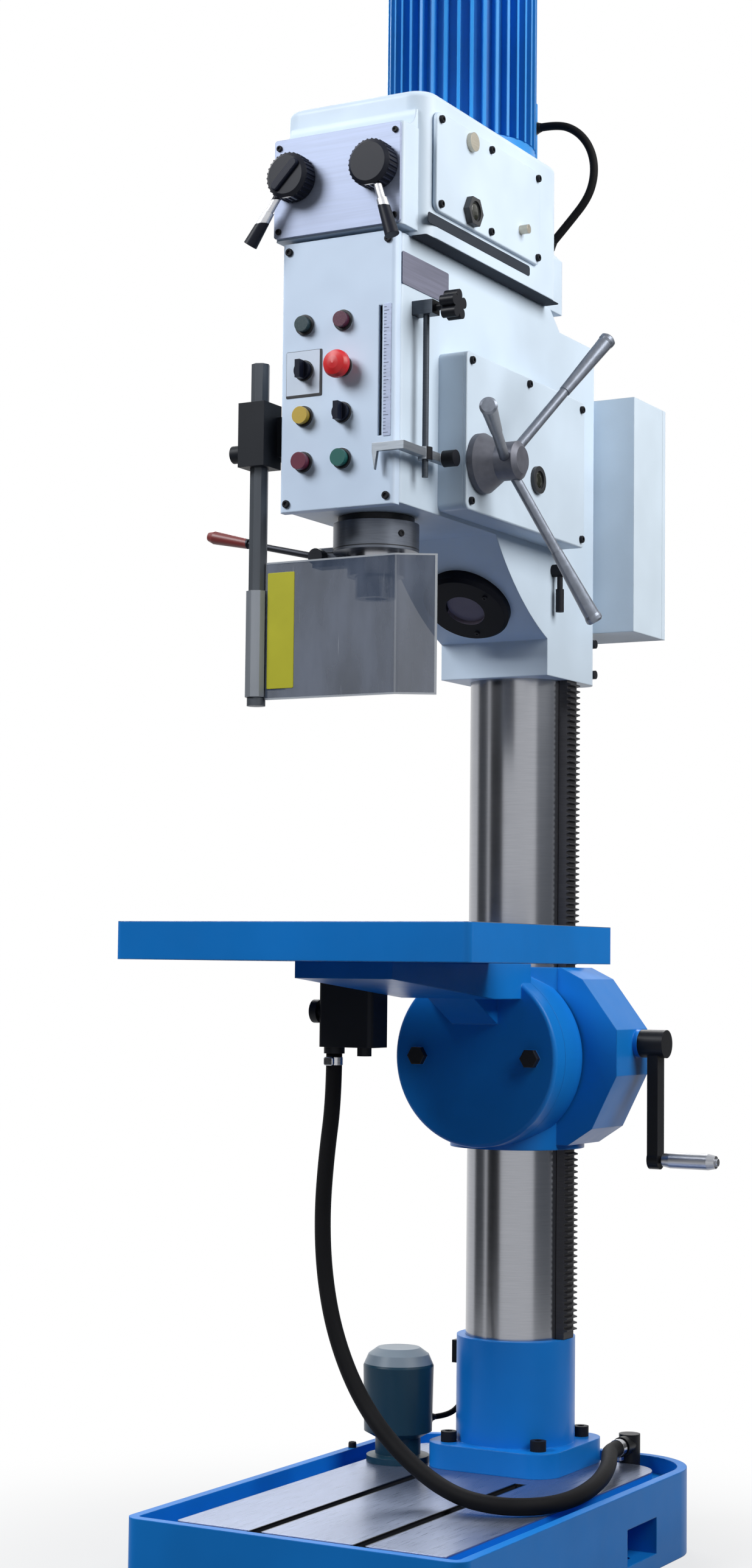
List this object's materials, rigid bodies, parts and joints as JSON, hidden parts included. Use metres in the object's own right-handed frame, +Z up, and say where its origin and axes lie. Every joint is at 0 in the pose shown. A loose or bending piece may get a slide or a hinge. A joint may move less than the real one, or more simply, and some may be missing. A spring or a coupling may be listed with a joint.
{
  "type": "geared column drill press",
  "caption": "Floor-standing geared drill press with a round column, rack-lifted tilting table, three-arm capstan feed, guard and coolant pump.",
  "frame": {"origin": "on the floor, at the centre of the base's hold-down bolt holes", "axes": "+Z up along the column, -Y to the operator in front, +X to the operator's right"},
  "size_m": [0.615, 0.945, 2.492],
  "materials": {
    "blue_paint": "gloss enamel",
    "blue_motor": "gloss enamel",
    "grey_paint": "gloss enamel",
    "panel_paint": "satin enamel",
    "bright_steel": "ground",
    "gear_steel": "hobbed, oiled",
    "dark_steel": "black oxide",
    "dark_paint": "satin enamel",
    "black_plastic": "moulded",
    "red_plastic": "moulded",
    "dark_red_plastic": "moulded",
    "yellow_plastic": "moulded",
    "green_plastic": "moulded",
    "lens_plastic": "moulded",
    "clear_plastic": "clear sheet",
    "brass": "turned",
    "hose_rubber": "smooth",
    "teal_paint": "gloss enamel",
    "switchgear": "moulded"
  },
  "bodies": {
    "frame": {"base_casting": "blue_paint", "pedestal": "blue_paint", "frame_bolts": "dark_steel", "column": "bright_steel", "head_casting": "grey_paint", "work_lamp": "black_plastic", "front_panel": "panel_paint", "pilot_lamps": "lens_plastic", "feed_housing": "grey_paint", "feed_cover": "grey_paint", "depth_rod": "black_plastic", "gearbox_casting": "grey_paint", "gearbox_side_cover": "grey_paint", "oil_plugs": "brass", "shift_plate": "panel_paint", "gearbox_bearings": "gear_steel", "motor_frame": "blue_motor", "fan_cowl": "dark_paint", "line_fittings": "switchgear", "motor_cable": "hose_rubber", "cabinet_box": "panel_paint", "contactor_plate": "switchgear", "coolant_pump": "teal_paint", "pump_cable": "hose_rubber", "drain_hose": "hose_rubber", "guard_clamp": "black_plastic"},
    "rack": {"column_rack": "dark_steel"},
    "bracket": {"table_bracket": "blue_paint", "bracket_bolts": "dark_steel"},
    "lift_gear": {"lift_pinion": "gear_steel"},
    "lift_crank": {"crank": "dark_steel"},
    "table": {"table_top": "blue_paint", "table_arm": "blue_paint", "table_drain": "dark_paint"},
    "feed_capstan": {"feed_pinion": "gear_steel", "capstan_hub": "dark_paint", "capstan_arms": "bright_steel"},
    "quill_body": {"quill": "bright_steel", "quill_collar": "grey_paint", "spindle_bearings": "gear_steel"},
    "clamp_lever": {"collar_lever": "bright_steel"},
    "spindle_body": {"spindle": "bright_steel"},
    "drive_sleeve": {"spindle_drive_gear": "gear_steel"},
    "low_shaft": {"low_countershaft": "gear_steel"},
    "high_shaft": {"high_countershaft": "gear_steel"},
    "motor_rotor": {"motor_pinion": "gear_steel"},
    "left_shifter": {"left_speed_knob": "black_plastic"},
    "right_shifter": {"right_speed_knob": "black_plastic"},
    "stop_plunger": {"emergency_stop": "red_plastic"},
    "yellow_plunger": {"yellow_button": "yellow_plastic"},
    "red_plunger": {"red_button": "dark_red_plastic"},
    "green_plunger": {"green_button": "green_plastic"},
    "mode_switch": {"mode_selector": "black_plastic"},
    "feed_switch": {"feed_selector": "black_plastic"},
    "depth_stop": {"depth_arm": "bright_steel"},
    "guard_post": {"guard_rod": "bright_steel"},
    "guard_screen": {"guard_sleeve": "bright_steel", "guard_sheet": "clear_plastic"},
    "door": {"cabinet_door": "panel_paint"},
    "lock_lever": {"head_lock_lever": "black_plastic"}
  },
  "joints": [
    {"name": "table_swing", "type": "hinge", "parent": "frame", "child": "rack", "pos_m": [0, 0.345, 0.9], "axis": [0, 0, 1], "range_deg": [-90, 90], "deforming": ["drain_hose"]},
    {"name": "table_lift", "type": "slide", "parent": "rack", "child": "bracket", "axis": [0, 0, 1], "range_m": [-0.272, 0.272], "deforming": ["drain_hose"]},
    {"name": "lift_gear_turn", "type": "hinge", "parent": "bracket", "child": "lift_gear", "pos_m": [0.11685, 0.345, 0.738], "axis": [0, 1, 0], "range_deg": [-760, 760]},
    {"name": "crank_turn", "type": "hinge", "parent": "bracket", "child": "lift_crank", "pos_m": [0.2, 0.373, 0.787], "axis": [1, 0, 0], "range_deg": [-6870, 6870]},
    {"name": "table_tilt", "type": "hinge", "parent": "bracket", "child": "table", "pos_m": [0, 0.21, 0.765], "axis": [0, 1, 0], "range_deg": [-45, 45], "deforming": ["drain_hose"]},
    {"name": "capstan_turn", "type": "hinge", "parent": "frame", "child": "feed_capstan", "pos_m": [0.2, -0.07685, 1.635], "axis": [1, 0, 0], "range_deg": [0, 570]},
    {"name": "quill_feed", "type": "slide", "parent": "frame", "child": "quill_body", "axis": [0, 0, 1], "range_m": [-0.18, 0]},
    {"name": "clamp_lever_turn", "type": "hinge", "parent": "quill_body", "child": "clamp_lever", "pos_m": [-0.086, -0.133, 1.5026], "axis": [0, 1, 0], "range_deg": [-30, 25]},
    {"name": "motor_spin", "type": "hinge", "parent": "frame", "child": "motor_rotor", "pos_m": [0, 0.1245, 2.1], "axis": [0, 0, 1], "continuous": true},
    {"name": "high_shaft_spin", "type": "hinge", "parent": "frame", "child": "high_shaft", "pos_m": [0, 0.042, 2.05], "axis": [0, 0, 1], "continuous": true},
    {"name": "low_shaft_spin", "type": "hinge", "parent": "frame", "child": "low_shaft", "pos_m": [0, -0.0455, 2.05], "axis": [0, 0, 1], "continuous": true},
    {"name": "drive_sleeve_spin", "type": "hinge", "parent": "frame", "child": "drive_sleeve", "pos_m": [0, -0.133, 2.05], "axis": [0, 0, 1], "continuous": true},
    {"name": "spindle_spin", "type": "hinge", "parent": "quill_body", "child": "spindle_body", "pos_m": [0, -0.133, 1.6], "axis": [0, 0, 1], "continuous": true},
    {"name": "left_shift", "type": "hinge", "parent": "frame", "child": "left_shifter", "pos_m": [-0.068, -0.275, 2.036], "axis": [0, 1, 0], "range_deg": [-60, 60]},
    {"name": "right_shift", "type": "hinge", "parent": "frame", "child": "right_shifter", "pos_m": [0.068, -0.275, 2.036], "axis": [0, 1, 0], "range_deg": [-60, 60]},
    {"name": "stop_press", "type": "slide", "parent": "frame", "child": "stop_plunger", "axis": [0, 1, 0], "range_m": [0, 0.004], "stiffness_N_per_m": 900},
    {"name": "yellow_press", "type": "slide", "parent": "frame", "child": "yellow_plunger", "axis": [0, 1, 0], "range_m": [0, 0.004], "stiffness_N_per_m": 600},
    {"name": "red_press", "type": "slide", "parent": "frame", "child": "red_plunger", "axis": [0, 1, 0], "range_m": [0, 0.004], "stiffness_N_per_m": 600},
    {"name": "green_press", "type": "slide", "parent": "frame", "child": "green_plunger", "axis": [0, 1, 0], "range_m": [0, 0.004], "stiffness_N_per_m": 600},
    {"name": "mode_turn", "type": "hinge", "parent": "frame", "child": "mode_switch", "pos_m": [-0.054, -0.252, 1.7565], "axis": [0, 1, 0], "range_deg": [-45, 45]},
    {"name": "feed_turn", "type": "hinge", "parent": "frame", "child": "feed_switch", "pos_m": [0.01, -0.252, 1.69], "axis": [0, 1, 0], "range_deg": [-45, 45]},
    {"name": "depth_set", "type": "slide", "parent": "frame", "child": "depth_stop", "axis": [0, 0, 1], "range_m": [0, 0.17]},
    {"name": "guard_height", "type": "slide", "parent": "frame", "child": "guard_post", "axis": [0, 0, 1], "range_m": [-0.1, 0.056]},
    {"name": "guard_swing", "type": "hinge", "parent": "guard_post", "child": "guard_screen", "pos_m": [-0.133, -0.245, 1.36], "axis": [0, 0, 1], "range_deg": [-110, 0]},
    {"name": "door_swing", "type": "hinge", "parent": "frame", "child": "door", "pos_m": [-0.157, 0.572, 1.64], "axis": [0, 0, 1], "range_deg": [0, 110]},
    {"name": "lock_lever_turn", "type": "hinge", "parent": "frame", "child": "lock_lever", "pos_m": [0.1, 0.269, 1.529], "axis": [1, 0, 0], "range_deg": [-40, 40]}
  ],
  "couplings": [
    {"joint": "table_lift", "follows": "crank_turn", "m_per_rad": 0.00225},
    {"joint": "lift_gear_turn", "follows": "crank_turn", "ratio": -0.10714},
    {"joint": "quill_feed", "follows": "capstan_turn", "m_per_rad": -0.018},
    {"joint": "high_shaft_spin", "follows": "motor_spin", "ratio": -0.43478},
    {"joint": "low_shaft_spin", "follows": "motor_spin", "ratio": 0.19928},
    {"joint": "drive_sleeve_spin", "follows": "motor_spin", "ratio": -0.10397},
    {"joint": "spindle_spin", "follows": "motor_spin", "ratio": -0.10397}
  ]
}
